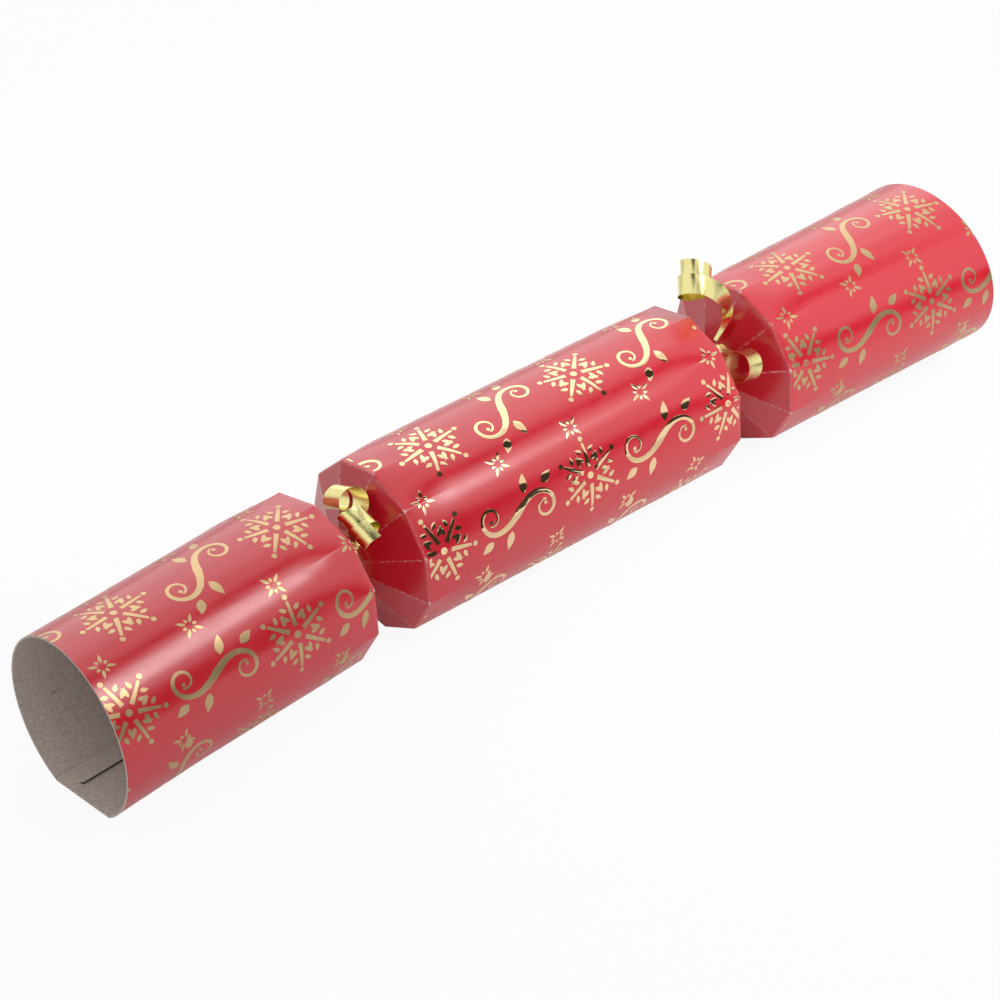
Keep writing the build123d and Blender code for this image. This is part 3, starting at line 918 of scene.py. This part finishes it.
def curlPiece(curl, neck, knotDegrees):
    look = ribbon
    angle = math.radians(knotDegrees)
    reach = tieOuter / mm + look["knotReach"] * tieShape["knot"] / mm + look["knotGap"]
    knot = Vector((0, math.cos(angle), math.sin(angle))) * reach
    points = curlRoute(curl, knot)
    line = smoothLine([neck + point * mm for point in points])
    lead = look["leadStations"] / (len(points) - 1)
    along = Vector(curl["axis"]).normalized()
    shape = bmesh.new()
    uvs = shape.loops.layers.uv.new("UVMap")
    spots = {}
    last = len(line) - 1
    for vert, i, j in gridSheet(shape, last, look["spans"]):
        heading = (line[min(i + 1, last)] - line[max(i - 1, 0)]).normalized()
        share = min(1, i / last / lead)
        across = Vector(curl["widthAtKnot"]).normalized() * (1 - share) + along * share
        across = (across - heading * across.dot(heading)).normalized()
        opened = min(look["spread"][0] * share ** look["spread"][1], 1)
        size = look["width"] * mm * (curl["pinch"] + (1 - curl["pinch"]) * opened)
        place = j / look["spans"] - 0.5
        cup = heading.cross(across) * (look["cup"] * mm * (1 - 4 * place * place) * share)
        end = max(0, 1 - (last - i) / look["slantRows"]) * look["slant"] * mm * place
        vert.co = line[i] + across * (size * place) + cup + heading * end
        spots[vert] = (i / last, j / look["spans"])
    for face in shape.faces:
        for loop in face.loops:
            loop[uvs].uv = spots[loop.vert]
    piece = closePiece(curl["name"] + "_ribbon", shape, "barrel", (ribbonGold,))
    thicken(piece, look["film"] * mm, 0)
    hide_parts(curl["name"])


for curl in leftCurls:
    curlPiece(curl, leftNeck, tieShape["knotDegrees"]["left"])
for curl in rightCurls:
    curlPiece(curl, rightNeck, tieShape["knotDegrees"]["right"])
print("ribbon curls made")


# Contents: rolled tissue hat and motto, and the CAD pieces that only need a finish
def rolledSheet(name, node, material, look):
    low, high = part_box(node)
    radius = (high.y - low.y) / 2
    centre = Vector(((low.x + high.x) / 2, (low.y + high.y) / 2, low.z + radius))
    if look["fromTop"]:
        centre.z = high.z - radius
    half = (high.x - low.x) / 2
    inner = radius * look["hollow"]
    shape = bmesh.new()
    count = round(look["turns"] * look["spansPerTurn"])
    spans = look["lengthSpans"]
    for vert, i, j in gridSheet(shape, count, spans):
        share = i / count
        angle = 2 * math.pi * look["turns"] * share + look["start"]
        reach = inner + (radius - look["sheet"] / 2 - inner) * share
        ripple = Vector((share * look["ripples"][0], j * look["ripples"][1], 0))
        reach -= look["crinkle"] * abs(noise.noise(ripple))
        x = half * (2 * j / spans - 1)
        if j in (0, spans):
            x *= 1 - look["ragged"] * (1 + math.sin(angle * look["raggedWaves"])) / 2
        vert.co = centre + Vector((x, reach * math.cos(angle), reach * math.sin(angle)))
    piece = closePiece(name, shape, node, (material,))
    thicken(piece, look["sheet"], 0)
    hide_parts(node)


hatRoll = {
    "turns": 5.5,
    "hollow": 0.36,
    "sheet": 0.20 * mm,
    "start": 0.4,
    "crinkle": 0.22 * mm,
    "ripples": (30, 0.5),  # of the crinkle, along the sheet and across it
    "ragged": 0.03,
    "raggedWaves": 2.5,
    "spansPerTurn": 40,
    "lengthSpans": 24,
    "fromTop": True,
}
mottoRoll = {
    "turns": 1.9,
    "hollow": 0.72,
    "sheet": 0.12 * mm,
    "start": 1.9,
    "crinkle": 0.03 * mm,
    "ripples": (30, 0.5),
    "ragged": 0.0,
    "raggedWaves": 2.5,
    "spansPerTurn": 40,
    "lengthSpans": 24,
    "fromTop": False,
}
rolledSheet("paper_hat_roll", "paper_hat", hatTissue, hatRoll)
rolledSheet("motto_roll", "motto_slip", mottoPaper, mottoRoll)

nodeFinishes = {
    "snap_strip_left": snapCard,
    "snap_strip_right": snapCard,
    "snap_charge": snapPowder,
    "snap_abrasive": snapPowder,
    "snap_wrapper": snapPaper,
    "top_disc": topPlastic,
    "top_spindle": stemPlastic,
    "barrel_left_gussets": greyBoard,
    "barrel_right_gussets": greyBoard,
    "left_end_gussets": greyBoard,
    "right_end_gussets": greyBoard,
}
for node, material in nodeFinishes.items():
    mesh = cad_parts[node].data
    mesh.materials.clear()
    mesh.materials.append(material)
print("contents finished")


# Pale floor, soft boxes and a white surround
studio = {
    "floorSize": 6.0,
    "floorSpans": 8,
    "floorDrop": 0.05 * mm,
    "floorRoughness": 0.9,
    "floorWhite": 0.76,
    "floorGlow": (0.93, 0.10),  # shares of plain white that the camera and shiny things see
    "surround": 0.70,
    "aim": Vector((-0.03, 0, 0.02)),
    "boxes": [
        {"name": "key_box", "from": (0.352, -0.46, 0.81), "distance": 0.95, "size": (0.36, 0.30),
         "radiance": 4.6},
        {"name": "back_box", "from": (0.52, 0.80, 0.30), "distance": 1.3, "size": (1.1, 0.90),
         "radiance": 0.6},
        {"name": "top_box", "from": (0.50, 0.48, 0.72), "distance": 1.3, "size": (0.9, 0.5),
         "radiance": 0.6},
    ],
    "flagCloth": (0.045, 0.043, 0.04, 1),
    "flags": [  # shift and slant are in each flag's own plane
        {"name": "front_left_flag", "from": (0.536, -0.80, 0.355), "distance": 0.8, "size": (0.45, 0.44),
         "shift": (-0.225, 0.01), "slant": -0.07},
        {"name": "front_right_flag", "from": (0.536, -0.80, 0.355), "distance": 0.8, "size": (0.45, 0.20),
         "shift": (0.225, -0.18), "slant": -0.42},
        {"name": "top_flag", "from": (0.42, -0.08, 0.87), "distance": 0.9, "size": (0.15, 0.8),
         "shift": (0, 0), "slant": 0},
        {"name": "ceiling_flag", "from": (-0.457, 0.0, 0.848), "distance": 0.9, "size": (0.36, 0.6),
         "shift": (0, 0), "slant": 0},
        {"name": "camera_flag", "from": (-0.55, -0.57, 0.61), "distance": 1.0, "size": (0.6, 0.6),
         "shift": (0, 0), "slant": 0},
    ],
    "spotFrom": Vector((0.46, -0.38, 0.66)),
    "spotAim": Vector((0.095, 0, 0.02)),
    "spotCone": 25.0,
    "spotSoftness": 0.06,
    "spotLevel": 0.52,  # share of plain white that it adds where it is aimed
}


def whiteRay(tree, cameraShare, shinyShare):
    seen = tree.nodes.new("ShaderNodeLightPath")
    reached = None
    for kind in ("Is Camera Ray", "Is Glossy Ray", "Is Transmission Ray"):
        share = addNode(tree, "ShaderNodeMath", operation="MULTIPLY")
        share.inputs[1].default_value = cameraShare if kind == "Is Camera Ray" else shinyShare
        tree.links.new(seen.outputs[kind], share.inputs[0])
        if reached is None:
            reached = share.outputs[0]
            continue
        either = addNode(tree, "ShaderNodeMath", operation="MAXIMUM")
        tree.links.new(reached, either.inputs[0])
        tree.links.new(share.outputs[0], either.inputs[1])
        reached = either.outputs[0]
    return reached


def makeFloor():
    shape = bmesh.new()
    spans = studio["floorSpans"]
    bmesh.ops.create_grid(shape, x_segments=spans, y_segments=spans, size=studio["floorSize"] / 2)
    bmesh.ops.translate(shape, verts=shape.verts, vec=(0, 0, -studio["floorDrop"]))
    mesh = bpy.data.meshes.new("floor")
    shape.to_mesh(mesh)
    shape.free()
    material, tree, shader = startMaterial("white_floor")
    shader.inputs["Base Color"].default_value = (*[studio["floorWhite"]] * 3, 1)
    shader.inputs["Roughness"].default_value = studio["floorRoughness"]
    shader.inputs["Specular IOR Level"].default_value = 0.0
    glow = addNode(tree, "ShaderNodeEmission", Strength=1.0)
    mix = tree.nodes.new("ShaderNodeMixShader")
    tree.links.new(whiteRay(tree, *studio["floorGlow"]), mix.inputs["Fac"])
    tree.links.new(shader.outputs["BSDF"], mix.inputs[1])
    tree.links.new(glow.outputs["Emission"], mix.inputs[2])
    tree.links.new(mix.outputs["Shader"], tree.nodes["Material Output"].inputs["Surface"])
    mesh.materials.append(material)
    floor = bpy.data.objects.new("floor", mesh)
    bpy.context.scene.collection.objects.link(floor)


def facing(direction, distance):
    place = studio["aim"] + direction.normalized() * distance
    return Matrix.Translation(place) @ direction.to_track_quat("Z", "Y").to_matrix().to_4x4()


def softBox(box):
    data = bpy.data.lights.new(box["name"], "AREA")
    data.shape = "RECTANGLE"
    data.size, data.size_y = box["size"]
    data.energy = box["radiance"] * math.pi * data.size * data.size_y
    lamp = bpy.data.objects.new(box["name"], data)
    lamp.matrix_world = facing(Vector(box["from"]), box["distance"])
    bpy.context.scene.collection.objects.link(lamp)


def fillSpot():
    away = studio["spotFrom"] - studio["spotAim"]
    data = bpy.data.lights.new("fill_spot", "SPOT")
    data.energy = studio["spotLevel"] * math.pi * 4 * math.pi * away.length_squared
    data.spot_size = math.radians(studio["spotCone"])
    data.spot_blend = 1.0
    data.shadow_soft_size = studio["spotSoftness"]
    lamp = bpy.data.objects.new("fill_spot", data)
    turn = away.to_track_quat("Z", "Y").to_matrix().to_4x4()
    lamp.matrix_world = Matrix.Translation(studio["spotFrom"]) @ turn
    lamp.visible_glossy = False
    bpy.context.scene.collection.objects.link(lamp)


def darkFlag(look):
    shape = bmesh.new()
    bmesh.ops.create_grid(shape, x_segments=1, y_segments=1, size=0.5)
    bmesh.ops.scale(shape, verts=shape.verts, vec=(*look["size"], 1))
    for vert in shape.verts:
        vert.co.y += look["slant"] * vert.co.x / look["size"][0]
    bmesh.ops.translate(shape, verts=shape.verts, vec=(*look["shift"], 0))
    bmesh.ops.transform(shape, verts=shape.verts, matrix=facing(Vector(look["from"]), look["distance"]))
    mesh = bpy.data.meshes.new(look["name"])
    shape.to_mesh(mesh)
    shape.free()
    material, _, shader = startMaterial("flag_cloth")
    shader.inputs["Base Color"].default_value = studio["flagCloth"]
    shader.inputs["Roughness"].default_value = 1.0
    mesh.materials.append(material)
    flag = bpy.data.objects.new(look["name"], mesh)
    flag.visible_camera = False
    flag.visible_diffuse = False
    flag.visible_shadow = False
    bpy.context.scene.collection.objects.link(flag)


def makeSurround():
    world = bpy.data.worlds.new("white_surround")
    world.use_nodes = True
    tree = world.node_tree
    plain = tree.nodes["Background"]
    plain.inputs["Color"].default_value = (1, 1, 1, 1)
    plain.inputs["Strength"].default_value = studio["surround"]
    white = addNode(tree, "ShaderNodeBackground", Strength=1.0)
    white.inputs["Color"].default_value = (1, 1, 1, 1)
    mix = tree.nodes.new("ShaderNodeMixShader")
    tree.links.new(whiteRay(tree, 1, 1), mix.inputs["Fac"])
    tree.links.new(plain.outputs["Background"], mix.inputs[1])
    tree.links.new(white.outputs["Background"], mix.inputs[2])
    tree.links.new(mix.outputs["Shader"], tree.nodes["World Output"].inputs["Surface"])
    bpy.context.scene.world = world


makeFloor()
for box in studio["boxes"]:
    softBox(box)
fillSpot()
for look in studio["flags"]:
    darkFlag(look)
makeSurround()
bpy.context.scene.view_settings.view_transform = "Standard"
print("studio lit")
